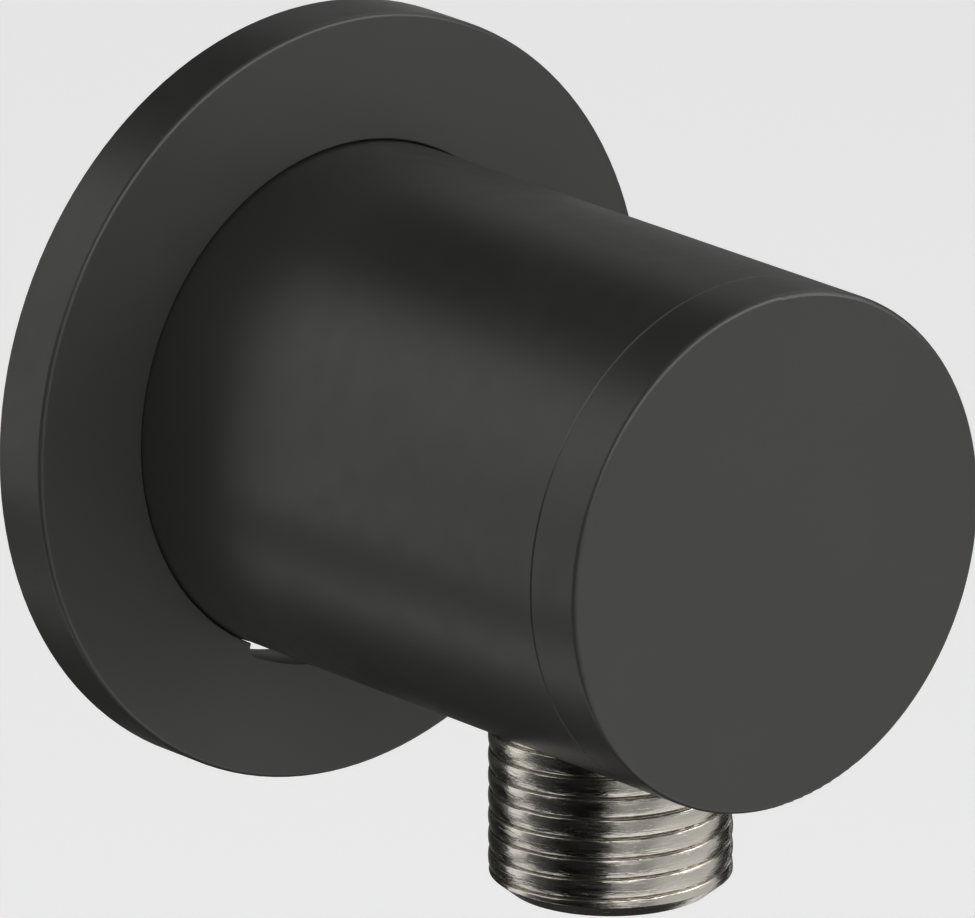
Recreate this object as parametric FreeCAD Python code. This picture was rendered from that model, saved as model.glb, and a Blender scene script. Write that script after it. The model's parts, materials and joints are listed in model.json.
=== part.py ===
import FreeCAD, Part
import math
import os

# Wall outlet elbow for a shower hose. Millimetres.
# The wall plane is y = 0 and the body stands out from it along -Y.
# The body axis is z = 0, and the hose nipple points down, along -Z.
# "distance" is measured from the wall, "height" is z on the outlet axis.

# Escutcheon
flange_overhang = 11.3
flange_thickness = 5.5
flange_plate = 2.0
flange_rim = 3.0
flange_collar = 3.6
flange_edge = 0.4
drain_gap = 1.15
drain_half_angle = 28.0
drain_corner = 0.9

# Body sleeve and front cap
body_diameter = 45.4
sleeve_wall = 2.2
projection = 62.0
sleeve_setback = 0.6
cap_depth = 5.6
cap_plate = 2.4
cap_spigot = 2.0
cap_spigot_wall = 2.2
cap_socket_wall = 2.6
cap_edge = 0.45
seam_chamfer = 0.12

# Pipe thread G 1/2
thread_major = 20.955
thread_minor = 18.631

# Brass core
hub_wall = 5.0
inlet_thread = 12.0
inlet_lead_in = 0.5
inlet_relief = 0.4
waterway_diameter = 12.0
port_diameter = 10.5
drill_point_length = 3.6
collar_distance = 10.5
collar_width = 5.0
wrench_flats = 26.0
wrench_length = 10.0
boss_wall = 3.2
nose_diameter = 18.0
nose_gap = 0.6

# Inlet screen and its seal
inlet_seal_thickness = 2.0
inlet_seal_bore = 14.0
screen_thickness = 0.5
screen_hole = 1.7
screen_pitch = 2.7
screen_rings = 2

# Outlet nipple
outlet_from_face = 21.5
outlet_reach = 35.0
shank_diameter = 16.0
shank_length = 8.0
neck_relief = 0.28
nipple_chamfer = 1.6
nipple_chamfer_length = 1.3
nipple_hex = 10.0
cartridge_bore = 15.2

# Check valve cartridge
cartridge_length = 15.1
cartridge_setback = 0.4
housing_wall = 1.15
housing_head = 3.1
valve_opening = 8.0
valve_travel = 2.4
poppet_diameter = 10.0
poppet_disc = 1.0
poppet_seal_thickness = 1.0
poppet_neck = 3.8
poppet_head = 6.0
poppet_head_height = 1.2
stem_diameter = 2.0
guide_height = 3.2
guide_ring = 0.9
guide_hub = 6.4
guide_arm = 1.3
guide_arms = 3
spring_wire = 0.5
spring_coil = 5.2
spring_turns = 4.5

# Rubber rings
large_ring_section = 1.5
small_ring_section = 1.2
groove_slack = 0.3
ring_corner = 0.29

# Clearances between pieces, on the radius or the face
slip_fit = 0.1
hole_fit = 0.15
ring_fit = 0.01
stem_fit = 0.06
seat_gap = 0.05
end_gap = 0.4

# Worked out from the sizes above
body_radius = body_diameter / 2
flange_radius = body_radius + flange_overhang
sleeve_bore = body_radius - sleeve_wall
flange_bore = body_radius + slip_fit
seam_distance = projection - cap_depth
outlet_distance = projection - outlet_from_face
major_radius = thread_major / 2
minor_radius = thread_minor / 2
relief_radius = minor_radius + inlet_relief
hub_radius = minor_radius + hub_wall
collar_radius = sleeve_bore - slip_fit
waterway = waterway_diameter / 2
port_radius = port_diameter / 2
shoulder_distance = inlet_thread + inlet_seal_thickness + screen_thickness
shank_radius = shank_diameter / 2
boss_radius = shank_radius + boss_wall
seat_height = -math.sqrt(collar_radius ** 2 - boss_radius ** 2)
shank_top = seat_height + shank_length
hub_front = outlet_distance + boss_radius + end_gap
nose_radius = nose_diameter / 2
cap_inside = projection - cap_plate
nose_front = cap_inside - nose_gap
nipple_end = -outlet_reach
neck_radius = major_radius - neck_relief
bore_radius = cartridge_bore / 2
cartridge_bottom = nipple_end + cartridge_setback
cartridge_top = cartridge_bottom + cartridge_length
housing_radius = bore_radius - hole_fit
chamber_radius = housing_radius - housing_wall
seat_face = cartridge_top - housing_head
seal_top = seat_face - seat_gap
seal_bottom = seal_top - poppet_seal_thickness
disc_bottom = seal_bottom - poppet_disc
guide_bottom = cartridge_bottom + end_gap
guide_top = guide_bottom + guide_height
stem_end = cartridge_bottom + valve_travel

ROUND = "round"


def on_body_axis(radius, distance):
    return FreeCAD.Vector(radius, -distance, 0)


def on_outlet_axis(radius, height):
    return FreeCAD.Vector(radius, -outlet_distance, height)


def corner_arc(before, corner, after, radius):
    """Tangent points and midpoint of the arc that rounds one corner."""
    to_before = (before - corner).normalize()
    to_after = (after - corner).normalize()
    half_angle = to_before.getAngle(to_after) / 2
    room = 0.45 * min((before - corner).Length, (after - corner).Length)
    setback = min(radius / math.tan(half_angle), room)
    centre_way = (to_before + to_after).normalize()
    arc_radius = setback * math.tan(half_angle)
    centre = corner + centre_way * (setback / math.cos(half_angle))
    start = corner + to_before * setback
    middle = centre - centre_way * arc_radius
    end = corner + to_after * setback
    return start, middle, end


def outline(points, place):
    """Closed face through (radius, along) points.

    A third value cuts that corner back by that much, and a fourth, ROUND, rounds it instead.
    """
    corners = [place(point[0], point[1]) for point in points]
    count = len(corners)
    starts = []
    ends = []
    corner_edges = []
    for index, point in enumerate(points):
        start = corners[index]
        end = corners[index]
        edge = None
        if len(point) > 2:
            start, middle, end = corner_arc(
                corners[index - 1], corners[index], corners[(index + 1) % count], point[2])
            edge = Part.Arc(start, middle, end) if ROUND in point else Part.LineSegment(start, end)
        starts.append(start)
        ends.append(end)
        corner_edges.append(edge)
    edges = []
    for index in range(count):
        if corner_edges[index] is not None:
            edges.append(corner_edges[index].toShape())
        edges.append(Part.LineSegment(ends[index], starts[(index + 1) % count]).toShape())
    return Part.Face(Part.Wire(edges))


def turned(points, place):
    """Solid of revolution about the body axis or the outlet axis."""
    foot = place(0, 0)
    direction = place(0, 1) - foot
    return outline(points, place).revolve(foot, direction, 360)


def drilled(radius, start, end, place):
    """Cylinder between two places on an axis, to be cut or kept."""
    foot = place(0, start)
    direction = place(0, end) - foot
    return Part.makeCylinder(radius, direction.Length, foot, direction)


def rubber_ring(bore, section, along, place):
    """Rubber ring as it sits squeezed inside a bore, with flats where it bears."""
    inside = bore - section + ring_fit
    outside = bore - ring_fit
    half_width = section / 2
    corner = section * ring_corner
    return turned([(inside, along - half_width, corner),
                   (outside, along - half_width, corner),
                   (outside, along + half_width, corner),
                   (inside, along + half_width, corner)], place)


def groove(bore, section, along, place):
    """Ring to cut for the rubber ring: its floor is one section inside the bore."""
    half_width = section / 2 + groove_slack / 2
    floor = bore - section
    return turned([(floor, along - half_width),
                   (bore + section, along - half_width),
                   (bore + section, along + half_width),
                   (floor, along + half_width)], place)


def hexagon(across_flats):
    """Closed six-sided wire in the plane z = 0, centred on the origin."""
    corner_radius = across_flats / math.sqrt(3)
    corners = []
    for index in range(7):
        angle = math.radians(60 * index)
        corners.append(FreeCAD.Vector(corner_radius * math.cos(angle),
                                      corner_radius * math.sin(angle), 0))
    return Part.makePolygon(corners)


def wall_flange():
    """Escutcheon: rim and collar stand on the wall, with a recess between them."""
    recess_distance = flange_thickness - flange_plate
    collar_outside = flange_bore + flange_collar
    rim_inside = flange_radius - flange_rim
    plate = turned([(flange_bore, 0),
                    (collar_outside, 0),
                    (collar_outside, recess_distance),
                    (rim_inside, recess_distance),
                    (rim_inside, 0),
                    (flange_radius, 0),
                    (flange_radius, flange_thickness, flange_edge, ROUND),
                    (flange_bore, flange_thickness, seam_chamfer)], on_body_axis)
    return plate.cut(drain_notch())


def drain_notch():
    """Arc of the collar's bore opened out below the body, so that water drains to the front.

    It runs through the whole thickness, and its two outer corners are rounded.
    """
    margin = 1.0
    outside = body_radius + drain_gap
    sector = outline([(body_radius - margin, -margin),
                      (outside, -margin),
                      (outside, flange_thickness + margin),
                      (body_radius - margin, flange_thickness + margin)], on_body_axis)
    centre = FreeCAD.Vector(0, 0, 0)
    body_axis = FreeCAD.Vector(0, 1, 0)
    sector.rotate(centre, body_axis, 90 - drain_half_angle)
    notch = sector.revolve(centre, body_axis, 2 * drain_half_angle)
    corners = []
    for edge in notch.Edges:
        first = edge.Vertexes[0].Point
        last = edge.Vertexes[-1].Point
        runs_through = abs(first.y - last.y) > flange_thickness
        if runs_through and math.hypot(first.x, first.z) > body_radius:
            corners.append(edge)
    return notch.makeFillet(drain_corner, corners)


def wall_gasket():
    """Foam ring that fills the escutcheon's recess and lies against the wall."""
    inside = flange_bore + flange_collar + slip_fit
    outside = flange_radius - flange_rim - slip_fit
    depth = flange_thickness - flange_plate
    return turned([(inside, 0), (outside, 0), (outside, depth), (inside, depth)], on_body_axis)


def flange_o_ring():
    """Rubber ring in the sleeve that grips the escutcheon's bore."""
    return rubber_ring(flange_bore, small_ring_section, flange_thickness / 2, on_body_axis)


def body_sleeve():
    """Black tube that covers the core, with one hole below for the nipple."""
    tube = turned([(sleeve_bore, sleeve_setback),
                   (body_radius, sleeve_setback, seam_chamfer),
                   (body_radius, seam_distance, seam_chamfer),
                   (sleeve_bore, seam_distance)], on_body_axis)
    tube = tube.cut(groove(flange_bore, small_ring_section, flange_thickness / 2, on_body_axis))
    return tube.cut(drilled(major_radius + hole_fit, 0, -body_diameter, on_outlet_axis))


def sleeve_o_ring():
    """Rubber ring on the core's collar that centres the sleeve."""
    return rubber_ring(sleeve_bore, large_ring_section, collar_distance, on_body_axis)


def front_cap():
    """Black cup that closes the sleeve: a short spigot outside and a socket for the core's nose."""
    spigot_outside = sleeve_bore - slip_fit
    spigot_inside = spigot_outside - cap_spigot_wall
    spigot_back = seam_distance - cap_spigot
    socket_inside = nose_radius + slip_fit
    socket_outside = socket_inside + cap_socket_wall
    socket_back = hub_front + end_gap
    return turned([(0, cap_inside),
                   (socket_inside, cap_inside),
                   (socket_inside, socket_back),
                   (socket_outside, socket_back),
                   (socket_outside, cap_inside),
                   (spigot_inside, cap_inside),
                   (spigot_inside, spigot_back),
                   (spigot_outside, spigot_back, seam_chamfer),
                   (spigot_outside, seam_distance),
                   (body_radius, seam_distance, seam_chamfer),
                   (body_radius, projection, cap_edge, ROUND),
                   (0, projection)], on_body_axis)


def cap_ring_distance():
    return (hub_front + nose_front) / 2


def cap_o_ring():
    """Rubber ring on the core's nose that holds the cap by friction."""
    return rubber_ring(nose_radius + slip_fit, large_ring_section, cap_ring_distance(), on_body_axis)


def core_body():
    """Turned outside of the core: hub, centring collar and nose."""
    collar_back = collar_distance - collar_width / 2
    collar_front = collar_distance + collar_width / 2
    return turned([(0, 0),
                   (hub_radius, 0, seam_chamfer),
                   (hub_radius, collar_back),
                   (collar_radius, collar_back, seam_chamfer),
                   (collar_radius, collar_front, seam_chamfer),
                   (hub_radius, collar_front),
                   (hub_radius, hub_front, end_gap),
                   (nose_radius, hub_front),
                   (nose_radius, nose_front, end_gap),
                   (0, nose_front)], on_body_axis)


def inlet_bore():
    """Female pipe thread at its minor diameter, with a lead-in, a relief and the waterway."""
    drill_end = outlet_distance + waterway
    return turned([(0, 0),
                   (minor_radius + inlet_lead_in, 0),
                   (minor_radius, inlet_lead_in),
                   (minor_radius, inlet_thread),
                   (relief_radius, inlet_thread),
                   (relief_radius, shoulder_distance),
                   (waterway, shoulder_distance),
                   (waterway, drill_end),
                   (0, drill_end + drill_point_length)], on_body_axis)


def wrench_cuts():
    """Two side cuts that leave flats on the hub, in front of its collar."""
    start = collar_distance + collar_width / 2 + end_gap
    height = 2 * hub_radius
    cuts = []
    for side in (-1, 1):
        low_x = wrench_flats / 2 if side > 0 else -wrench_flats / 2 - hub_radius
        corner = FreeCAD.Vector(low_x, -start - wrench_length, -height / 2)
        cuts.append(Part.makeBox(hub_radius, wrench_length, height, corner))
    return cuts


def elbow_core():
    """Brass core: female inlet at the wall, a right-angle waterway and a threaded port below."""
    core = core_body()
    for cut in wrench_cuts():
        core = core.cut(cut)
    boss = drilled(boss_radius, 0, seat_height, on_outlet_axis)
    core = core.fuse(boss)
    core = core.cut(inlet_bore())
    core = core.cut(drilled(port_radius, 0, seat_height, on_outlet_axis))
    core = core.cut(drilled(shank_radius, seat_height, shank_top + end_gap, on_outlet_axis))
    core = core.cut(groove(sleeve_bore, large_ring_section, collar_distance, on_body_axis))
    core = core.cut(groove(nose_radius + slip_fit, large_ring_section,
                           cap_ring_distance(), on_body_axis))
    return core.removeSplitter()


def inlet_seal():
    """Flat rubber washer that seals on the supply nipple's end."""
    outside = relief_radius - slip_fit
    return turned([(inlet_seal_bore / 2, inlet_thread),
                   (outside, inlet_thread),
                   (outside, inlet_thread + inlet_seal_thickness),
                   (inlet_seal_bore / 2, inlet_thread + inlet_seal_thickness)], on_body_axis)


def inlet_screen():
    """Perforated disc, clamped between the washer and the core's shoulder."""
    back = shoulder_distance - screen_thickness
    disc = drilled(relief_radius - slip_fit, back, shoulder_distance, on_body_axis)
    hole = Part.Face(hexagon(screen_hole)).extrude(FreeCAD.Vector(0, 0, screen_thickness))
    hole.rotate(FreeCAD.Vector(0, 0, 0), FreeCAD.Vector(1, 0, 0), 90)
    for column, row in screen_places():
        x = screen_pitch * (column + row / 2)
        z = screen_pitch * row * math.sqrt(3) / 2
        cut = hole.copy()
        cut.translate(FreeCAD.Vector(x, -back, z))
        disc = disc.cut(cut)
    return disc


def screen_places():
    """Places of a hexagonal pattern, with the given number of rings round the middle hole."""
    places = []
    for row in range(-screen_rings, screen_rings + 1):
        for column in range(-screen_rings, screen_rings + 1):
            if abs(column + row) <= screen_rings:
                places.append((column, row))
    return places


def nipple_ring_height():
    return shank_top - large_ring_section


def outlet_nipple():
    """Nickel-plated nipple at its thread's major diameter, with a hexagon socket inside."""
    neck_end = -body_radius - slip_fit
    nipple = turned([(0, shank_top),
                     (shank_radius, shank_top, end_gap),
                     (shank_radius, seat_height),
                     (neck_radius, seat_height),
                     (neck_radius, neck_end),
                     (major_radius, neck_end),
                     (major_radius, nipple_end + nipple_chamfer_length),
                     (major_radius - nipple_chamfer, nipple_end),
                     (0, nipple_end)], on_outlet_axis)
    nipple = nipple.cut(drilled(bore_radius, nipple_end, cartridge_top, on_outlet_axis))
    socket = Part.Face(hexagon(nipple_hex)).extrude(
        FreeCAD.Vector(0, 0, shank_top - cartridge_top))
    socket.translate(on_outlet_axis(0, cartridge_top))
    nipple = nipple.cut(socket)
    return nipple.cut(groove(shank_radius, small_ring_section, nipple_ring_height(),
                             on_outlet_axis))


def nipple_o_ring():
    """Rubber ring that seals the nipple's shank in the core."""
    return rubber_ring(shank_radius, small_ring_section, nipple_ring_height(), on_outlet_axis)


def valve_ring_height():
    return cartridge_top - housing_head / 2


def valve_housing():
    """Plastic cup of the check valve, with its seat at the top."""
    opening = valve_opening / 2
    housing = turned([(opening, cartridge_top, end_gap),
                      (housing_radius, cartridge_top),
                      (housing_radius, cartridge_bottom),
                      (chamber_radius, cartridge_bottom),
                      (chamber_radius, seat_face),
                      (opening, seat_face)], on_outlet_axis)
    return housing.cut(groove(bore_radius, large_ring_section, valve_ring_height(),
                              on_outlet_axis))


def valve_o_ring():
    """Rubber ring that seals the cartridge in the nipple."""
    return rubber_ring(bore_radius, large_ring_section, valve_ring_height(), on_outlet_axis)


def valve_guide():
    """Spider that snaps into the housing and guides the poppet's stem."""
    outside = chamber_radius - ring_fit
    inside = outside - guide_ring
    hub_outside = guide_hub / 2
    stem_bore = stem_diameter / 2 + stem_fit
    guide = turned([(inside, guide_bottom),
                    (outside, guide_bottom),
                    (outside, guide_top),
                    (inside, guide_top)], on_outlet_axis)
    hub = turned([(stem_bore, guide_bottom),
                  (hub_outside, guide_bottom),
                  (hub_outside, guide_top),
                  (stem_bore, guide_top)], on_outlet_axis)
    inner_overlap = (hub_outside - stem_bore) / 2
    outer_overlap = guide_ring / 2
    arm_length = inside + outer_overlap - hub_outside + inner_overlap
    pieces = [hub]
    for index in range(guide_arms):
        arm = Part.makeBox(arm_length, guide_arm, guide_height,
                           FreeCAD.Vector(hub_outside - inner_overlap,
                                          -outlet_distance - guide_arm / 2,
                                          guide_bottom))
        arm.rotate(on_outlet_axis(0, 0), FreeCAD.Vector(0, 0, 1), 90 + 360 / guide_arms * index)
        pieces.append(arm)
    return guide.fuse(pieces).removeSplitter()


def valve_poppet():
    """Mushroom that closes the seat from below: head, neck, disc and guided stem."""
    neck = poppet_neck / 2
    head = poppet_head / 2
    disc = poppet_diameter / 2
    stem = stem_diameter / 2
    return turned([(0, stem_end),
                   (stem, stem_end, stem_fit),
                   (stem, disc_bottom),
                   (disc, disc_bottom),
                   (disc, seal_bottom),
                   (neck, seal_bottom),
                   (neck, seal_top),
                   (head, seal_top),
                   (stem, seal_top + poppet_head_height),
                   (0, seal_top + poppet_head_height)], on_outlet_axis)


def poppet_seal():
    """Rubber washer on the poppet, just clear of the seat when the valve is shut."""
    inside = poppet_neck / 2
    outside = poppet_diameter / 2
    return turned([(inside, seal_bottom),
                   (outside, seal_bottom),
                   (outside, seal_top),
                   (inside, seal_top)], on_outlet_axis)


def valve_spring():
    """Coil between the guide's hub and the poppet's disc."""
    wire = spring_wire / 2
    coil = spring_coil / 2
    bottom = guide_top + wire + ring_fit
    top = disc_bottom - wire - ring_fit
    height = top - bottom
    helix = Part.makeHelix(height / spring_turns, height, coil)
    section = hexagon(spring_wire)
    section.rotate(FreeCAD.Vector(0, 0, 0), FreeCAD.Vector(1, 0, 0), 90)
    section.translate(FreeCAD.Vector(coil, 0, 0))
    spring = Part.Wire(helix.Edges).makePipeShell([section], True, True)
    spring.translate(on_outlet_axis(0, bottom))
    return spring


SUB_PARTS = (
    wall_flange,
    wall_gasket,
    flange_o_ring,
    body_sleeve,
    sleeve_o_ring,
    front_cap,
    cap_o_ring,
    elbow_core,
    inlet_seal,
    inlet_screen,
    outlet_nipple,
    nipple_o_ring,
    valve_housing,
    valve_o_ring,
    valve_guide,
    valve_poppet,
    poppet_seal,
    valve_spring,
)


os.makedirs("parts", exist_ok=True)
for make in SUB_PARTS:
    shape = make()
    print(make.__name__, "valid" if shape.isValid() else "NOT VALID",
          "solids", len(shape.Solids), "volume", round(shape.Volume, 2))
    shape.exportStep(os.path.join("parts", make.__name__ + ".step"))
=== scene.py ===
import bmesh
import bpy
import json
import math
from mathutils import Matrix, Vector


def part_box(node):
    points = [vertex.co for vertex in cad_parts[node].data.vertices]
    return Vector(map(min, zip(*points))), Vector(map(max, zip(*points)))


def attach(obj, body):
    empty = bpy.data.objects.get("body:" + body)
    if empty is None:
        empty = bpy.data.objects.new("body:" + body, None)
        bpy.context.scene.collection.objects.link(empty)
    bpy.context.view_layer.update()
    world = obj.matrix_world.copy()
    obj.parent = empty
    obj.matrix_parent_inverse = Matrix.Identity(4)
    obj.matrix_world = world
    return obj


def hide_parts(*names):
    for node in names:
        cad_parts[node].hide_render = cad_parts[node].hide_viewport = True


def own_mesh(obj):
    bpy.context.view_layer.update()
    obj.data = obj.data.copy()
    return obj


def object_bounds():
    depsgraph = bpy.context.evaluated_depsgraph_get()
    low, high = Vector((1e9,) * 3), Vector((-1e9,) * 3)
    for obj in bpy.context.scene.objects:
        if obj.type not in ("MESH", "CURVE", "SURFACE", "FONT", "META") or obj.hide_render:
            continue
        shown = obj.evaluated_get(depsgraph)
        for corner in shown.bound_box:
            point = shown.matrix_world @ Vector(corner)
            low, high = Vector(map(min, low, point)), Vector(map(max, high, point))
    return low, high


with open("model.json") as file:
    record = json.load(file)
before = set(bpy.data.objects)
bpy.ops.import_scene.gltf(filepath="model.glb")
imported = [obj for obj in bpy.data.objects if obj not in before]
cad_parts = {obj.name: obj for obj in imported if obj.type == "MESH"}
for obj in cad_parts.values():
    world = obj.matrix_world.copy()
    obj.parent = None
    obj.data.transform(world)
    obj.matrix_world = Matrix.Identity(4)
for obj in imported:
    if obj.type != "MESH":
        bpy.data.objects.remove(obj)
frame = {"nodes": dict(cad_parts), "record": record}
cad_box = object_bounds()

# Wall outlet elbow. Metres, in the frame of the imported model: the wall plane is y = 0,
# the body stands out along -Y, and the nipple points down.

MM = 0.001
record = frame["record"]
mounts = {mount["name"]: mount for mount in record["mounts"]}

# Camera, fitted to the outlines in the photograph
CAMERA_AZIMUTH = -40.54
CAMERA_ELEVATION = 18.06
CAMERA_DISTANCE = 1.489
CAMERA_LENS = 644.6
CAMERA_SENSOR = 36
CAMERA_NEAR = 0.01
CAMERA_FAR = 50
AIM_RIGHT = -4.33 * MM
AIM_UP = 0.63 * MM

# Studio
FLOOR_DROP = 0.28
FLOOR_HALF_WIDTH = 6
FLOOR_ALBEDO = 0.8
FLOOR_GLOW = 0.36
LAMP_SPREAD = 100
CARD_DISTANCE = 0.35
SECTOR_STEP = 5

# Nipple and pipe thread G 1/2
THREAD_PITCH = 25.4 / 14 * MM
THREAD_DEPTH = 0.4 * MM
THREAD_CROWN = 0.15 * MM
THREAD_ROOT_SHARPNESS = 18
THREAD_PHASE = -0.18
NIPPLE_COLUMNS = 180
ROWS_PER_PITCH = 40
SMALL_EDGE = 0.15 * MM
HEX_FLATS = 10 * MM
SMOOTH_BELOW = 40

# Inlet thread
TAP_START = 0.5 * MM
TAP_CLEARANCE = 0.1 * MM
TAP_RUNOUT = 1.2 * MM
TAP_FLANK = 1.25
TAP_CREST_FLAT = 0.12
TAP_COLUMNS = 120
TAP_ROWS_PER_PITCH = 16
WELD = 0.001 * MM
CORE_SMOOTH_BELOW = 35

# Spring
SPRING_WIRE = 0.5 * MM
SPRING_TURNS = 6
SPRING_CLOSED_TURNS = 1
SPRING_COLUMNS_PER_TURN = 40
SPRING_SIDES = 12

# Materials: the range that most of a noise texture lies in
NOISE_LOW = 0.3
NOISE_HIGH = 0.7

nipple_axis = Vector(mounts["hose_nipple"]["pos_m"])
nipple_axis.z = 0
thread_major = mounts["hose_nipple"]["dims"]["r_mm"] * MM
thread_minor = mounts["wall_inlet"]["dims"]["r_mm"] * MM
floor_height = cad_box[0][2] - FLOOR_DROP
on_floor = floor_height + MM


def cad_points(node, low_radius, high_radius):
    """Vertices of a CAD node that lie between two radii round the nipple's axis."""
    found = []
    for vertex in frame["nodes"][node].data.vertices:
        radius = math.hypot(vertex.co.x - nipple_axis.x, vertex.co.y - nipple_axis.y)
        if low_radius <= radius <= high_radius:
            found.append(vertex.co.copy())
    return found


def box_radius(node):
    """Radius of a round CAD node with its axis along Y or Z."""
    low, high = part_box(node)
    return (high.x - low.x) / 2


# Meshes

def new_object(name, mesh):
    piece = bpy.data.objects.new(name, mesh)
    bpy.context.scene.collection.objects.link(piece)
    return piece


def smooth_by_angle(mesh, degrees):
    for polygon in mesh.polygons:
        polygon.use_smooth = True
    mesh.set_sharp_from_angle(angle=math.radians(degrees))


def grid_mesh(name, rings, closed_rings):
    """Skin over rings of points. With closed_rings the last ring joins the first."""
    columns = len(rings[0])
    points = [point for ring in rings for point in ring]
    faces = []
    last = len(rings) if closed_rings else len(rings) - 1
    for row in range(last):
        below = row * columns
        above = (row + 1) % len(rings) * columns
        for column in range(columns):
            beside = (column + 1) % columns
            faces.append((below + column, below + beside, above + beside, above + column))
    if not closed_rings:
        faces.append(tuple(reversed(range(columns))))
        faces.append(tuple(range(len(points) - columns, len(points))))
    mesh = bpy.data.meshes.new(name)
    mesh.from_pydata(points, [], faces)
    mesh.update()
    return mesh


def thread_radius(angle, along, major, depth):
    """Radius of a right-hand thread with broad crowned crests and narrow roots."""
    turn = (along / THREAD_PITCH - angle / math.tau + THREAD_PHASE) % 1
    from_crest = abs(2 * turn - 1)
    return major - THREAD_CROWN * from_crest ** 2 - depth * from_crest ** THREAD_ROOT_SHARPNESS


def hexagon_radius(angle, flats):
    """Radius of a hexagon at an angle, from its width over the flats."""
    side = math.radians(60)
    return flats / 2 / math.cos((angle + side / 2) % side - side / 2)


def nipple_rings():
    """Rings of the nipple from the top of its shank, down the outside and back up the bore."""
    low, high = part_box("outlet_nipple")
    ring_low, ring_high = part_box("nipple_o_ring")
    shank = box_radius("nipple_o_ring")
    head = cad_points("outlet_nipple", shank + SMALL_EDGE, thread_major)
    inside = cad_points("outlet_nipple", 0, thread_major)
    outside = cad_points("outlet_nipple", thread_major - SMALL_EDGE, thread_major * 2)
    seat = max(point.z for point in head)
    chamfer_end = max(math.hypot(point.x, point.y - nipple_axis.y) for point in inside
                      if point.z < low.z + SMALL_EDGE)
    chamfer_top = min(point.z for point in outside)
    bore = box_radius("valve_o_ring")
    bore_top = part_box("valve_housing")[1].z
    chamfer_slope = (thread_major - chamfer_end) / (chamfer_top - low.z)

    def flat_ring(radius, height):
        return lambda angle: (radius, height)

    def thread_ring(height):
        limit = chamfer_end + (height - low.z) * chamfer_slope

        def radius(angle):
            return min(thread_radius(angle, height, thread_major, THREAD_DEPTH), limit), height
        return radius

    def hexagon_ring(height):
        return lambda angle: (hexagon_radius(angle, HEX_FLATS), height)

    groove_floor = shank - (ring_high.z - ring_low.z)
    rings = [flat_ring(shank - SMALL_EDGE, high.z),
             flat_ring(shank, high.z - SMALL_EDGE),
             flat_ring(shank, ring_high.z + SMALL_EDGE),
             flat_ring(groove_floor, ring_high.z + SMALL_EDGE),
             flat_ring(groove_floor, ring_low.z - SMALL_EDGE),
             flat_ring(shank, ring_low.z - SMALL_EDGE),
             flat_ring(shank, seat),
             flat_ring(thread_minor, seat)]
    rows = math.ceil((seat - low.z) / THREAD_PITCH * ROWS_PER_PITCH)
    for row in range(1, rows + 1):
        rings.append(thread_ring(seat - (seat - low.z) * row / rows))
    rings += [flat_ring(bore + SMALL_EDGE, low.z),
              flat_ring(bore, low.z + SMALL_EDGE),
              flat_ring(bore, bore_top),
              hexagon_ring(bore_top),
              hexagon_ring(high.z)]
    return rings


def outlet_nipple():
    """Nipple with its thread, hexagon socket and the bore that holds the check valve."""
    rings = []
    for ring in nipple_rings():
        points = []
        for column in range(NIPPLE_COLUMNS):
            angle = math.tau * column / NIPPLE_COLUMNS
            radius, height = ring(angle)
            points.append((radius * math.cos(angle),
                           nipple_axis.y + radius * math.sin(angle),
                           height))
        rings.append(points)
    mesh = grid_mesh("threaded_nipple", rings, True)
    mesh.flip_normals()
    smooth_by_angle(mesh, SMOOTH_BELOW)
    piece = new_object("threaded_nipple", mesh)
    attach(piece, "outlet")
    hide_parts("outlet_nipple")
    return piece


def tap_radius(angle, along, length):
    """Radius of the tap for the inlet's right-hand thread, which fades out at its inner end."""
    turn = (along / THREAD_PITCH - angle / math.tau) % 1
    height = TAP_FLANK * (1 - abs(2 * turn - 1)) - TAP_CREST_FLAT
    fade = (along + length) / TAP_RUNOUT
    share = max(0, min(1, height, fade))
    return thread_minor - TAP_CLEARANCE + (thread_major - thread_minor + TAP_CLEARANCE) * share


def inlet_tap():
    """Closed body of the inlet's thread, to be cut from the core."""
    length = mounts["wall_inlet"]["dims"]["length_mm"] * MM
    rows = math.ceil((length + TAP_START) / THREAD_PITCH * TAP_ROWS_PER_PITCH)
    rings = []
    for row in range(rows + 1):
        along = (length + TAP_START) * row / rows - length
        points = []
        for column in range(TAP_COLUMNS):
            angle = math.tau * column / TAP_COLUMNS
            radius = tap_radius(angle, along, length)
            points.append((radius * math.sin(angle), along, radius * math.cos(angle)))
        rings.append(points)
    return new_object("inlet_tap", grid_mesh("inlet_tap", rings, False))


def welded_copy(node):
    """New object with a node's own shape, joined along its hard edges."""
    shape = bmesh.new()
    shape.from_mesh(frame["nodes"][node].data)
    bmesh.ops.remove_doubles(shape, verts=shape.verts, dist=WELD)
    shape.verts.index_update()
    points = [vertex.co.copy() for vertex in shape.verts]
    faces = [[vertex.index for vertex in face.verts] for face in shape.faces]
    shape.free()
    mesh = bpy.data.meshes.new(node)
    mesh.from_pydata(points, [], faces)
    mesh.update()
    return new_object(node + "_blank", mesh)


def elbow_core():
    """Brass core with the thread cut in its inlet."""
    blank = welded_copy("elbow_core")
    tap = inlet_tap()
    cut = blank.modifiers.new("thread", "BOOLEAN")
    cut.operation = "DIFFERENCE"
    cut.solver = "EXACT"
    cut.object = tap
    bpy.context.view_layer.update()
    graph = bpy.context.evaluated_depsgraph_get()
    mesh = bpy.data.meshes.new_from_object(blank.evaluated_get(graph))
    bpy.data.objects.remove(blank)
    bpy.data.objects.remove(tap)
    mesh.name = "threaded_core"
    mesh.materials.clear()
    smooth_by_angle(mesh, CORE_SMOOTH_BELOW)
    piece = new_object("threaded_core", mesh)
    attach(piece, "outlet")
    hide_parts("elbow_core")
    return piece


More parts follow.
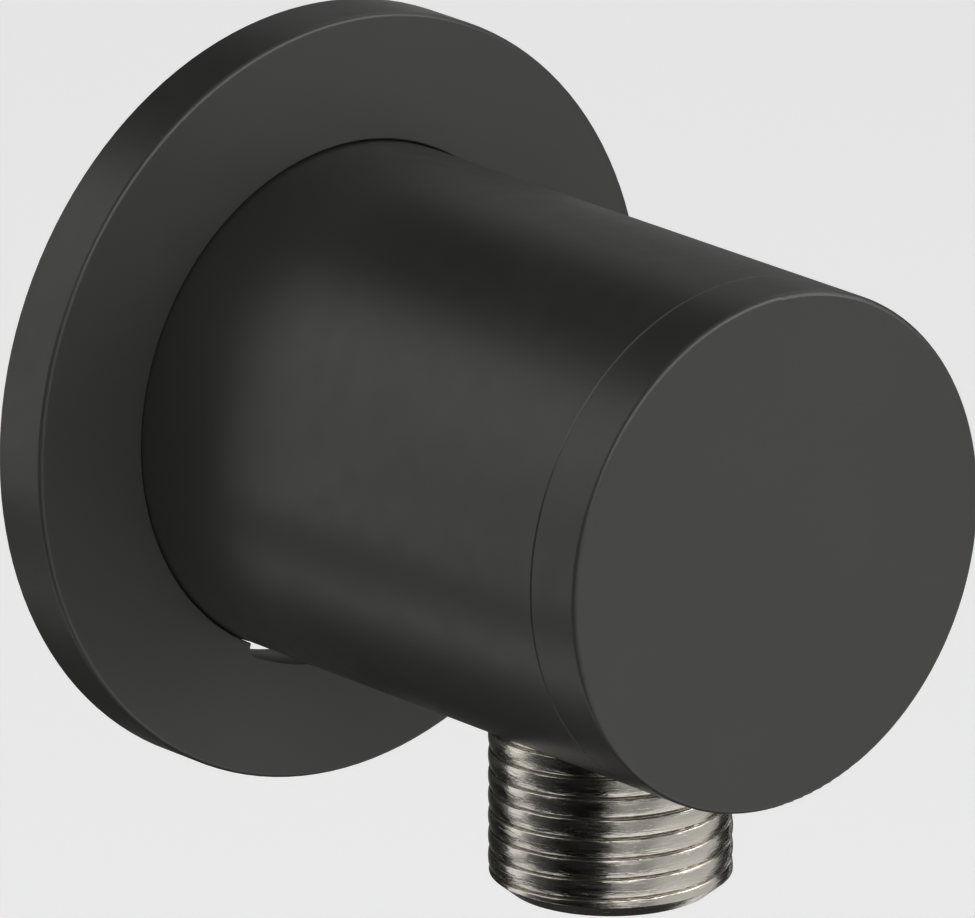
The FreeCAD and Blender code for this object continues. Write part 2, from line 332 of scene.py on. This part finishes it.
def valve_spring():
    """Coil of round wire, with its end turns closed."""
    low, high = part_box("valve_spring")
    wire = SPRING_WIRE / 2
    coil = (high.x - low.x) / 2 - wire
    bottom = low.z + wire
    height = high.z - low.z - 2 * wire
    closed = SPRING_WIRE * SPRING_CLOSED_TURNS
    open_turns = SPRING_TURNS - 2 * SPRING_CLOSED_TURNS

    def height_at(turn):
        if turn < SPRING_CLOSED_TURNS:
            return bottom + SPRING_WIRE * turn
        if turn > SPRING_TURNS - SPRING_CLOSED_TURNS:
            return bottom + height - SPRING_WIRE * (SPRING_TURNS - turn)
        share = (turn - SPRING_CLOSED_TURNS) / open_turns
        return bottom + closed + (height - 2 * closed) * share

    rings = []
    steps = SPRING_TURNS * SPRING_COLUMNS_PER_TURN
    for step in range(steps + 1):
        turn = step / SPRING_COLUMNS_PER_TURN
        angle = math.tau * turn
        points = []
        for side in range(SPRING_SIDES):
            around = math.tau * side / SPRING_SIDES
            radius = coil + wire * math.cos(around)
            points.append((radius * math.cos(angle),
                           nipple_axis.y + radius * math.sin(angle),
                           height_at(turn) + wire * math.sin(around)))
        rings.append(points)
    mesh = grid_mesh("round_wire_spring", rings, False)
    mesh.flip_normals()
    smooth_by_angle(mesh, SMOOTH_BELOW)
    piece = new_object("round_wire_spring", mesh)
    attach(piece, "outlet")
    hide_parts("valve_spring")
    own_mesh(piece)
    return piece


# Materials

def new_material(name, colour, roughness, metallic=0.0):
    """Material with the shader's own values, which noise may then vary."""
    material = bpy.data.materials.new(name)
    material.use_nodes = True
    shader = material.node_tree.nodes["Principled BSDF"]
    shader.inputs["Base Color"].default_value = (*colour, 1)
    shader.inputs["Roughness"].default_value = roughness
    shader.inputs["Metallic"].default_value = metallic
    return material


def stretched_place(material, scale):
    """Place on the object, scaled by a different amount along each axis."""
    tree = material.node_tree
    coordinates = tree.nodes.new("ShaderNodeTexCoord")
    mapping = tree.nodes.new("ShaderNodeMapping")
    mapping.inputs["Scale"].default_value = scale
    tree.links.new(coordinates.outputs["Object"], mapping.inputs["Vector"])
    return mapping.outputs["Vector"]


def noise(material, place, scale, detail=2.0):
    tree = material.node_tree
    texture = tree.nodes.new("ShaderNodeTexNoise")
    texture.inputs["Scale"].default_value = scale
    texture.inputs["Detail"].default_value = detail
    tree.links.new(place, texture.inputs["Vector"])
    return texture.outputs["Fac"]


def cells(material, place, scale):
    tree = material.node_tree
    texture = tree.nodes.new("ShaderNodeTexVoronoi")
    texture.inputs["Scale"].default_value = scale
    tree.links.new(place, texture.inputs["Vector"])
    return texture.outputs["Distance"]


def vary_roughness(material, value, low, high):
    tree = material.node_tree
    spread = tree.nodes.new("ShaderNodeMapRange")
    spread.inputs["From Min"].default_value = NOISE_LOW
    spread.inputs["From Max"].default_value = NOISE_HIGH
    spread.inputs["To Min"].default_value = low
    spread.inputs["To Max"].default_value = high
    tree.links.new(value, spread.inputs["Value"])
    tree.links.new(spread.outputs["Result"], tree.nodes["Principled BSDF"].inputs["Roughness"])


def vary_colour(material, value, dark, light):
    tree = material.node_tree
    ramp = tree.nodes.new("ShaderNodeValToRGB")
    ramp.color_ramp.elements[0].position = NOISE_LOW
    ramp.color_ramp.elements[0].color = (*dark, 1)
    ramp.color_ramp.elements[1].position = NOISE_HIGH
    ramp.color_ramp.elements[1].color = (*light, 1)
    tree.links.new(value, ramp.inputs["Fac"])
    tree.links.new(ramp.outputs["Color"], tree.nodes["Principled BSDF"].inputs["Base Color"])


def add_bump(material, value, height, strength):
    """Bump whose relief is height metres deep. A second call adds to the first."""
    tree = material.node_tree
    shader = tree.nodes["Principled BSDF"]
    bump = tree.nodes.new("ShaderNodeBump")
    bump.inputs["Strength"].default_value = strength
    bump.inputs["Distance"].default_value = height
    tree.links.new(value, bump.inputs["Height"])
    if shader.inputs["Normal"].is_linked:
        tree.links.new(shader.inputs["Normal"].links[0].from_socket, bump.inputs["Normal"])
    tree.links.new(bump.outputs["Normal"], shader.inputs["Normal"])


def black_coat():
    """Matt black coating: nearly even, with a very fine grain."""
    material = new_material("black_coat", (0.0215, 0.0215, 0.02), 0.35)
    shader = material.node_tree.nodes["Principled BSDF"]
    shader.inputs["Specular Tint"].default_value = (1, 1, 0.94, 1)
    place = stretched_place(material, (1, 1, 1))
    mottle = noise(material, place, 60)
    vary_colour(material, mottle, (0.0207, 0.0207, 0.0193), (0.0223, 0.0223, 0.0208))
    vary_roughness(material, noise(material, place, 400), 0.33, 0.38)
    add_bump(material, noise(material, place, 4000), 0.01 * MM, 0.06)
    return material


def nickel():
    """Bare turned nickel with fine lines round the nipple."""
    material = new_material("nickel", (0.66, 0.63, 0.565), 0.2, 1.0)
    lines = stretched_place(material, (350, 350, 9000))
    strokes = stretched_place(material, (700, 700, 3500))
    blotches = stretched_place(material, (1, 1, 2.5))
    vary_colour(material, noise(material, blotches, 250), (0.62, 0.59, 0.53), (0.70, 0.67, 0.60))
    vary_roughness(material, noise(material, lines, 1.0, 4.0), 0.12, 0.28)
    add_bump(material, noise(material, lines, 1.0, 4.0), 0.03 * MM, 0.5)
    add_bump(material, noise(material, strokes, 1.0, 3.0), 0.05 * MM, 1)
    return material


def brass():
    """Machined brass with fine turning lines along the body."""
    material = new_material("brass", (0.66, 0.47, 0.22), 0.3, 1.0)
    lines = stretched_place(material, (30, 5000, 30))
    blotches = stretched_place(material, (1, 1, 1))
    vary_colour(material, noise(material, blotches, 180), (0.58, 0.40, 0.17), (0.72, 0.52, 0.25))
    vary_roughness(material, noise(material, lines, 1.0, 4.0), 0.24, 0.4)
    add_bump(material, noise(material, lines, 1.0, 4.0), 0.02 * MM, 0.2)
    return material


def rubber():
    """Dull black rubber with faint mottling."""
    material = new_material("rubber", (0.02, 0.02, 0.02), 0.6)
    place = stretched_place(material, (1, 1, 1))
    vary_colour(material, noise(material, place, 500), (0.015, 0.015, 0.015), (0.026, 0.026, 0.026))
    vary_roughness(material, noise(material, place, 900), 0.5, 0.7)
    add_bump(material, noise(material, place, 3000), 0.02 * MM, 0.2)
    return material


def foam():
    """Open-pored foam, darker in its pores: painted shade."""
    material = new_material("foam", (0.05, 0.05, 0.05), 0.9)
    place = stretched_place(material, (1, 1, 1))
    pores_and_pore_shade = cells(material, place, 1800)
    # Colour darker where the pores dip: painted shade in the pores.
    vary_colour(material, pores_and_pore_shade, (0.03, 0.03, 0.03), (0.065, 0.065, 0.065))
    vary_roughness(material, noise(material, place, 900), 0.8, 0.95)
    add_bump(material, pores_and_pore_shade, 0.2 * MM, 0.6)
    return material


def steel():
    """Plain drawn steel."""
    material = new_material("steel", (0.55, 0.55, 0.56), 0.3, 1.0)
    place = stretched_place(material, (1, 1, 1))
    vary_colour(material, noise(material, place, 700), (0.50, 0.50, 0.51), (0.60, 0.60, 0.61))
    vary_roughness(material, noise(material, place, 2500), 0.22, 0.36)
    add_bump(material, noise(material, place, 4000), 0.01 * MM, 0.15)
    return material


def moulded_plastic(name, dark, light):
    """Satin moulded plastic that varies a little between two colours."""
    material = new_material(name, light, 0.45)
    place = stretched_place(material, (1, 1, 1))
    vary_colour(material, noise(material, place, 300), dark, light)
    vary_roughness(material, noise(material, place, 1200), 0.38, 0.5)
    add_bump(material, noise(material, place, 5000), 0.01 * MM, 0.15)
    return material


def paint(material, names):
    """Give CAD nodes a material. Their meshes stay as they are."""
    for name in names:
        piece = frame["nodes"][name]
        piece.data.materials.clear()
        piece.data.materials.append(material)


# Studio

def way(azimuth, elevation):
    """Unit vector. Azimuth 0 is in front of the object, -Y, and positive is to the right."""
    turn = math.radians(azimuth)
    rise = math.radians(elevation)
    return Vector((math.sin(turn) * math.cos(rise), -math.cos(turn) * math.cos(rise), math.sin(rise)))


def math_node(tree, operation, first, second):
    """Output of a math node. Each of its two values is a socket or a number."""
    node = tree.nodes.new("ShaderNodeMath")
    node.operation = operation
    for place, value in enumerate((first, second)):
        if isinstance(value, float):
            node.inputs[place].default_value = value
        else:
            tree.links.new(value, node.inputs[place])
    return node.outputs[0]


def stage_floor():
    """Plain pale floor that keeps the object's soft shadow and is see-through from below."""
    size = FLOOR_HALF_WIDTH
    mesh = bpy.data.meshes.new("floor")
    mesh.from_pydata([(-size, -size, 0), (size, -size, 0), (size, size, 0), (-size, size, 0)],
                     [], [(0, 1, 2, 3)])
    floor = new_object("floor", mesh)
    floor.location.z = floor_height
    material = bpy.data.materials.new("pale_floor")
    material.use_nodes = True
    tree = material.node_tree
    tree.nodes.clear()
    output = tree.nodes.new("ShaderNodeOutputMaterial")
    total = tree.nodes.new("ShaderNodeAddShader")
    diffuse = tree.nodes.new("ShaderNodeBsdfDiffuse")
    glow = tree.nodes.new("ShaderNodeEmission")
    path = tree.nodes.new("ShaderNodeLightPath")
    diffuse.inputs["Color"].default_value = (FLOOR_ALBEDO, FLOOR_ALBEDO, FLOOR_ALBEDO, 1)
    seen = math_node(tree, "MAXIMUM", path.outputs["Is Camera Ray"], path.outputs["Is Glossy Ray"])
    seen = math_node(tree, "MAXIMUM", seen, path.outputs["Is Transmission Ray"])
    tree.links.new(math_node(tree, "MULTIPLY", seen, FLOOR_GLOW), glow.inputs["Strength"])
    tree.links.new(diffuse.outputs[0], total.inputs[0])
    tree.links.new(glow.outputs[0], total.inputs[1])
    see_through = tree.nodes.new("ShaderNodeBsdfTransparent")
    sides = tree.nodes.new("ShaderNodeMixShader")
    geometry = tree.nodes.new("ShaderNodeNewGeometry")
    tree.links.new(geometry.outputs["Backfacing"], sides.inputs[0])
    tree.links.new(total.outputs[0], sides.inputs[1])
    tree.links.new(see_through.outputs[0], sides.inputs[2])
    tree.links.new(sides.outputs[0], output.inputs["Surface"])
    mesh.materials.append(material)


def glowing_reflection_card(name, points, faces, tones):
    """Glowing card outside the picture that only reflections see, with its own glow strength at each
    point: a painted reflection, bright where it glows and dark where it does not.
    """
    mesh = bpy.data.meshes.new(name)
    mesh.from_pydata(points, [], faces)
    shade = mesh.attributes.new("tone", "FLOAT", "POINT")
    for index, tone in enumerate(tones):
        shade.data[index].value = tone
    material = bpy.data.materials.new(name)
    material.use_nodes = True
    tree = material.node_tree
    tree.nodes.clear()
    output = tree.nodes.new("ShaderNodeOutputMaterial")
    # The card's tone is emission strength, so it paints light or dark into the reflections on the
    # object; it is no lamp.
    glow = tree.nodes.new("ShaderNodeEmission")
    attribute = tree.nodes.new("ShaderNodeAttribute")
    attribute.attribute_name = "tone"
    tree.links.new(attribute.outputs["Fac"], glow.inputs["Strength"])
    tree.links.new(glow.outputs[0], output.inputs["Surface"])
    mesh.materials.append(material)
    card = new_object(name, mesh)
    card.visible_camera = False
    card.visible_diffuse = False
    card.visible_shadow = False


def standing_card(name, foot, top, *stations):
    """Upright glowing card round the nipple that paints reflections, through stations of azimuth and
    glow strength.
    """
    points = []
    faces = []
    tones = []
    for index, (azimuth, tone) in enumerate(stations):
        place = nipple_axis + way(azimuth, 0) * CARD_DISTANCE
        points += [(place.x, place.y, foot), (place.x, place.y, top)]
        tones += [tone, tone]
        if index > 0:
            faces.append((2 * index - 2, 2 * index, 2 * index + 1, 2 * index - 1))
    glowing_reflection_card(name, points, faces, tones)


def lying_card(name, low_x, high_x, low_y, high_y, tone):
    """Glowing card of one strength on the floor that paints a reflection."""
    points = [(low_x, low_y, on_floor), (high_x, low_y, on_floor), (high_x, high_y, on_floor),
              (low_x, high_y, on_floor)]
    glowing_reflection_card(name, points, [(0, 1, 2, 3)], [tone] * len(points))


def sector_card(name, low_azimuth, high_azimuth, tone):
    """Glowing card of one strength on the floor, from below the nipple out to the upright cards, that
    paints a reflection.
    """
    points = [(nipple_axis.x, nipple_axis.y, on_floor)]
    for azimuth in range(low_azimuth, high_azimuth + 1, SECTOR_STEP):
        place = nipple_axis + way(azimuth, 0) * CARD_DISTANCE
        points.append((place.x, place.y, on_floor))
    glowing_reflection_card(name, points, [tuple(range(len(points)))], [tone] * len(points))


def studio_world():
    """Soft even dome. dim_dome then changes it towards single directions."""
    world = bpy.data.worlds.new("studio")
    bpy.context.scene.world = world
    world.use_nodes = True
    world.node_tree.nodes["Background"].inputs["Color"].default_value = (1, 1, 1, 1)
    world.node_tree.nodes["Background"].inputs["Strength"].default_value = 1


def dim_dome(azimuth, elevation, level, full_angle, end_angle):
    """Set the dome to a lower level within one angle of a direction, with a soft edge to the next."""
    tree = bpy.context.scene.world.node_tree
    strength = tree.nodes["Background"].inputs["Strength"]
    direction = tree.nodes.new("ShaderNodeTexCoord")
    towards = tree.nodes.new("ShaderNodeVectorMath")
    towards.operation = "DOT_PRODUCT"
    towards.inputs[1].default_value = way(azimuth, elevation)
    tree.links.new(direction.outputs["Generated"], towards.inputs[0])
    share = tree.nodes.new("ShaderNodeMapRange")
    share.interpolation_type = "SMOOTHSTEP"
    share.inputs["From Min"].default_value = math.cos(math.radians(end_angle))
    share.inputs["From Max"].default_value = math.cos(math.radians(full_angle))
    tree.links.new(towards.outputs["Value"], share.inputs["Value"])
    mix = tree.nodes.new("ShaderNodeMix")
    mix.data_type = "FLOAT"
    tree.links.new(share.outputs["Result"], mix.inputs["Factor"])
    mix.inputs["A"].default_value = strength.default_value
    mix.inputs["B"].default_value = level
    if strength.is_linked:
        tree.links.new(strength.links[0].from_socket, mix.inputs["A"])
    tree.links.new(mix.outputs["Result"], strength)


def soft_lamp(name, azimuth, elevation, distance, size, power, reflected):
    """Square lamp that faces the object. Reflected says whether gloss shows it."""
    lamp = bpy.data.lights.new(name, "AREA")
    lamp.shape = "SQUARE"
    lamp.size = size
    lamp.energy = power
    lamp.spread = math.radians(LAMP_SPREAD)
    holder = bpy.data.objects.new(name, lamp)
    bpy.context.scene.collection.objects.link(holder)
    holder.rotation_euler = (math.radians(90 - elevation), 0, math.radians(azimuth))
    holder.location = target + way(azimuth, elevation) * distance
    holder.visible_camera = False
    holder.visible_glossy = reflected


def make_camera():
    """Camera at the photograph's angle. The aim lengths slide it sideways and up."""
    data = bpy.data.cameras.new("camera")
    data.lens = CAMERA_LENS
    data.sensor_width = CAMERA_SENSOR
    data.clip_start = CAMERA_NEAR
    data.clip_end = CAMERA_FAR
    camera = bpy.data.objects.new("camera", data)
    bpy.context.scene.collection.objects.link(camera)
    camera.rotation_euler = (math.radians(90 - CAMERA_ELEVATION), 0, math.radians(CAMERA_AZIMUTH))
    bpy.context.view_layer.update()
    offset = Vector((AIM_RIGHT, AIM_UP, CAMERA_DISTANCE))
    camera.location = target + camera.matrix_world.to_3x3() @ offset
    bpy.context.scene.camera = camera


target = Vector((0, (cad_box[0][1] + cad_box[1][1]) / 2, 0))
make_camera()
stage_floor()
studio_world()
dim_dome(azimuth=0, elevation=90, level=0.15, full_angle=25, end_angle=55)
dim_dome(azimuth=138, elevation=10, level=0.2, full_angle=10, end_angle=30)
dim_dome(azimuth=168, elevation=42, level=0, full_angle=14, end_angle=28)
dim_dome(azimuth=20, elevation=40, level=0.4, full_angle=20, end_angle=60)
# Cards that only reflections see. Each glows at its own strength, so they are painted reflections: the
# bright ones paint highlights on the edges, body and nipple, and the dark ones paint shade into those
# reflections.
standing_card("dark_stripe", on_floor, 0.8, (-97, 0.02), (-86, 0), (-49, 0), (-43, 0.05), (-36, 0.24))
sector_card("stripe_foot", -100, -45, 0)
standing_card("left_fade", on_floor, 0.12, (-121, 0.13), (-110, 0.05), (-97, 0.02))
standing_card("left_light", -0.2, -0.13, (-152, 0.3), (-146, 0.18), (-137, 0.16), (-121, 0.1))
standing_card("left_glow", -0.13, 0.12, (-150, 1), (-134, 1), (-127, 0.5), (-121, 0.13))
standing_card("front_tone", on_floor, 0, (-36, 0.24), (-31, 0.34), (-22, 0.4), (-13, 0.28), (-6, 0.32))
standing_card("right_light", -0.145, 0.05, (-6, 0.32), (2, 0.5), (14, 0.57), (67, 0.57), (72, 0.52))
standing_card("right_low", on_floor, -0.145, (-6, 0.32), (2, 0.5), (20, 0.71), (62, 0.71), (72, 0.52))
standing_card("edge_light", 0.13, 0.32, (-50, 1.5), (-20, 3), (40, 3), (70, 2))
standing_card("right_edge", on_floor, 0.2, (72, 0.52), (78, 0.03), (109, 0))
standing_card("far_edges", -0.235, 0, (112, 0), (132, 0.09), (142, 0.13), (152, 0.18), (163, 0.05))
standing_card("left_edge", -0.24, 0.12, (163, 0.04), (180, 0.015), (208, 0), (214, 0.08))
# Dark card under the object: a painted shadow of the object on the floor, seen only in reflections.
# side_tone is a dark card at the left that paints a dark reflection of the floor.
lying_card("painted_shadow_under", -0.15, 0.28, -0.15, 0.42, 0.03)
lying_card("side_tone", -0.75, -0.25, -0.35, 0.2, 0)
soft_lamp("key", azimuth=-25, elevation=20, distance=1.2, size=0.9, power=1.5, reflected=False)
soft_lamp("front", azimuth=-10, elevation=4, distance=1.2, size=0.5, power=2, reflected=False)
soft_lamp("fill", azimuth=40, elevation=20, distance=1.2, size=0.5, power=1.05, reflected=True)

# Pieces
steel_metal = steel()
paint(black_coat(), ["wall_flange", "body_sleeve", "front_cap"])
paint(rubber(), ["flange_o_ring", "sleeve_o_ring", "cap_o_ring", "inlet_seal", "nipple_o_ring",
                 "valve_o_ring", "poppet_seal"])
paint(foam(), ["wall_gasket"])
paint(steel_metal, ["inlet_screen"])
paint(moulded_plastic("valve_plastic", (0.66, 0.68, 0.68), (0.74, 0.76, 0.76)),
      ["valve_housing", "valve_guide"])
paint(moulded_plastic("poppet_plastic", (0.08, 0.22, 0.46), (0.11, 0.28, 0.55)), ["valve_poppet"])
elbow_core().data.materials.append(brass())
outlet_nipple().data.materials.append(nickel())
valve_spring().data.materials.append(steel_metal)

bpy.context.scene.view_settings.view_transform = "Standard"
